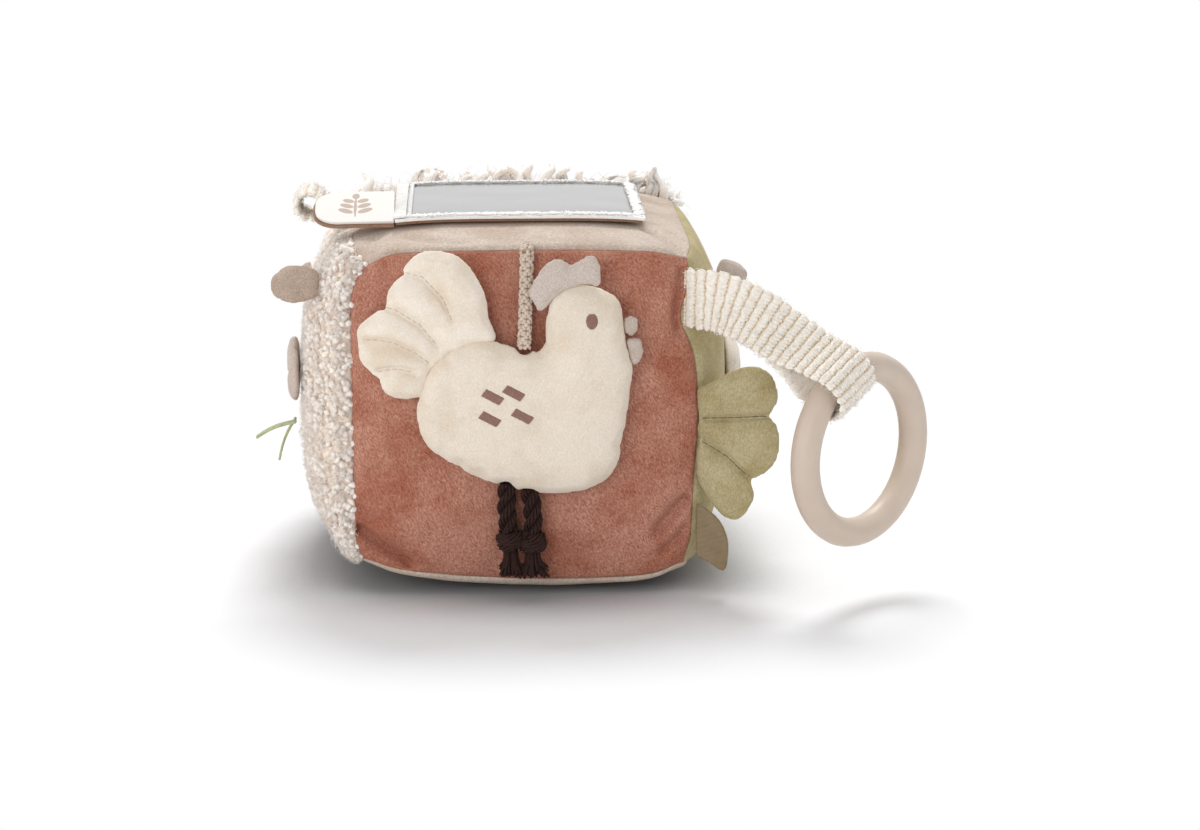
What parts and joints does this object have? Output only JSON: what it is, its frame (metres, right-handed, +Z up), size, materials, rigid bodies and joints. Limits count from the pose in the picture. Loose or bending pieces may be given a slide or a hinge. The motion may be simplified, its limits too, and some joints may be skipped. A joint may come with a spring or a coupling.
{
  "type": "soft fabric activity block",
  "caption": "Soft stuffed cube for a baby, with a play mirror on top, a hanging hen, a strap with a teething ring, a quilted leaf, animal faces on the sides and a rattle inside.",
  "frame": {"origin": "centre of the flat rest face under the bottom panel", "axes": "+Z up, -Y out of the front panel with the hen, +X towards the strap and the ring"},
  "size_m": [0.2364, 0.1696, 0.1362],
  "materials": {
    "polyester_fibre": "loose white fibre",
    "terracotta_velour": "short plush pile",
    "taupe_velour": "short plush pile",
    "cream_sherpa": "tufted sherpa pile",
    "curly_pile": "long curly pile",
    "sage_velour": "short plush pile",
    "beige_cotton": "short plush pile",
    "brown_suede": "suede cloth",
    "mirror_film": "soft acrylic mirror sheet",
    "white_cotton": "plain weave and zigzag stitch",
    "cream_corduroy": "wide wale corduroy",
    "cream_velour": "short plush pile",
    "taupe_trim_velour": "short plush pile",
    "grass_ribbon": "flat satin ribbon",
    "braided_cord": "round braid",
    "dark_cord": "twisted cotton cord",
    "ring_silicone": "smooth matte silicone",
    "label_tape": "woven satin tape",
    "rattle_plastic": "moulded shell",
    "rattle_bead": "smooth bead",
    "brown_thread": "satin stitch"
  },
  "bodies": {
    "block": {"fibre_filling": "polyester_fibre", "fibre_plug": "polyester_fibre", "front_panel": "terracotta_velour", "back_panel": "curly_pile", "left_panel": "cream_sherpa", "right_panel": "sage_velour", "top_panel": "taupe_velour", "bottom_panel": "beige_cotton", "rattle_shell_lower": "rattle_plastic", "rattle_shell_upper": "rattle_plastic", "mirror_backing": "brown_suede", "mirror_film": "mirror_film", "mirror_edging": "white_cotton", "mirror_end_tape": "white_cotton", "hanging_loop": "cream_corduroy", "sheep_muzzle": "taupe_trim_velour", "calf_muzzle": "cream_velour"},
    "rattle_ball": {"rattle_ball": "rattle_bead"},
    "tab": {"tab_face": "white_cotton", "tab_backing": "brown_suede"},
    "hen_cord": {"hen_cord": "braided_cord"},
    "hen": {"hen_body": "cream_velour", "hen_tail": "cream_velour", "hen_comb": "taupe_trim_velour", "hen_beak": "taupe_trim_velour", "hen_wattle": "taupe_trim_velour"},
    "leg_left": {"leg_left": "dark_cord"},
    "leg_right": {"leg_right": "dark_cord"},
    "strap": {"strap_loop": "cream_corduroy"},
    "ring": {"teether_ring": "ring_silicone"},
    "leaf": {"leaf": "sage_velour"},
    "label": {"label": "label_tape"},
    "sheep_ear_front": {"sheep_ear_front": "taupe_trim_velour"},
    "sheep_ear_rear": {"sheep_ear_rear": "taupe_trim_velour"},
    "grass_long": {"grass_blade_long": "grass_ribbon"},
    "grass_short": {"grass_blade_short": "grass_ribbon"},
    "calf_ear": {"calf_ear_front": "taupe_trim_velour"}
  },
  "joints": [
    {"name": "hen_lift", "type": "hinge", "parent": "block", "child": "hen_cord", "pos_m": [0.0017, -0.06326, 0.1223], "axis": [-1, 0, 0], "range_deg": [0, 100]},
    {"name": "hen_sway", "type": "hinge", "parent": "hen_cord", "child": "hen", "pos_m": [0.0004, -0.0697, 0.09032], "axis": [0, 1, 0], "range_deg": [-15, 15]},
    {"name": "leg_left_swing", "type": "hinge", "parent": "hen", "child": "leg_left", "pos_m": [-0.0057, -0.0697, 0.04189], "axis": [-1, 0, 0], "range_deg": [0, 50]},
    {"name": "leg_right_swing", "type": "hinge", "parent": "hen", "child": "leg_right", "pos_m": [0.0019, -0.0697, 0.04018], "axis": [-1, 0, 0], "range_deg": [0, 50]},
    {"name": "strap_swing", "type": "hinge", "parent": "block", "child": "strap", "pos_m": [0.06155, -0.06221, 0.105], "axis": [0, 0, 1], "range_deg": [-55, 40]},
    {"name": "ring_swing", "type": "hinge", "parent": "strap", "child": "ring", "pos_m": [0.10637, -0.07598, 0.07884], "axis": [-0.6516, -0.6077, -0.454], "range_deg": [-30, 30]},
    {"name": "tab_lift", "type": "hinge", "parent": "block", "child": "tab", "pos_m": [-0.0438, -0.02629, 0.13257], "axis": [0, 0.9455, 0.3256], "range_deg": [0, 85]},
    {"name": "leaf_fold", "type": "hinge", "parent": "block", "child": "leaf", "pos_m": [0.0603, -0.0603, 0.0276], "axis": [0, 0, 1], "range_deg": [-50, 10]},
    {"name": "label_fold", "type": "hinge", "parent": "block", "child": "label", "pos_m": [0.0603, -0.0603, 0.009], "axis": [0, 0, 1], "range_deg": [-50, 15]},
    {"name": "sheep_ear_front_flap", "type": "hinge", "parent": "block", "child": "sheep_ear_front", "pos_m": [-0.06996, -0.044, 0.109], "axis": [-0.0856, 0.5736, 0.8147], "range_deg": [-15, 15]},
    {"name": "sheep_ear_rear_flap", "type": "hinge", "parent": "block", "child": "sheep_ear_rear", "pos_m": [-0.07634, 0.03, 0.103], "axis": [-0.1205, 0.9903, 0.0696], "range_deg": [0, 30]},
    {"name": "grass_long_bend", "type": "hinge", "parent": "block", "child": "grass_long", "pos_m": [-0.07957, -0.024, 0.0545], "axis": [0, 1, 0], "range_deg": [-20, 20]},
    {"name": "grass_short_bend", "type": "hinge", "parent": "block", "child": "grass_short", "pos_m": [-0.07992, -0.018, 0.0545], "axis": [0, 1, 0], "range_deg": [0, 30]},
    {"name": "calf_ear_flap", "type": "hinge", "parent": "block", "child": "calf_ear", "pos_m": [0.07105, -0.012, 0.1075], "axis": [0.383, 0.6428, 0.6634], "range_deg": [-10, 15]},
    {"name": "rattle_roll", "type": "slide", "parent": "block", "child": "rattle_ball", "axis": [1, 0, 0], "range_m": [-0.003, 0.003]}
  ]
}
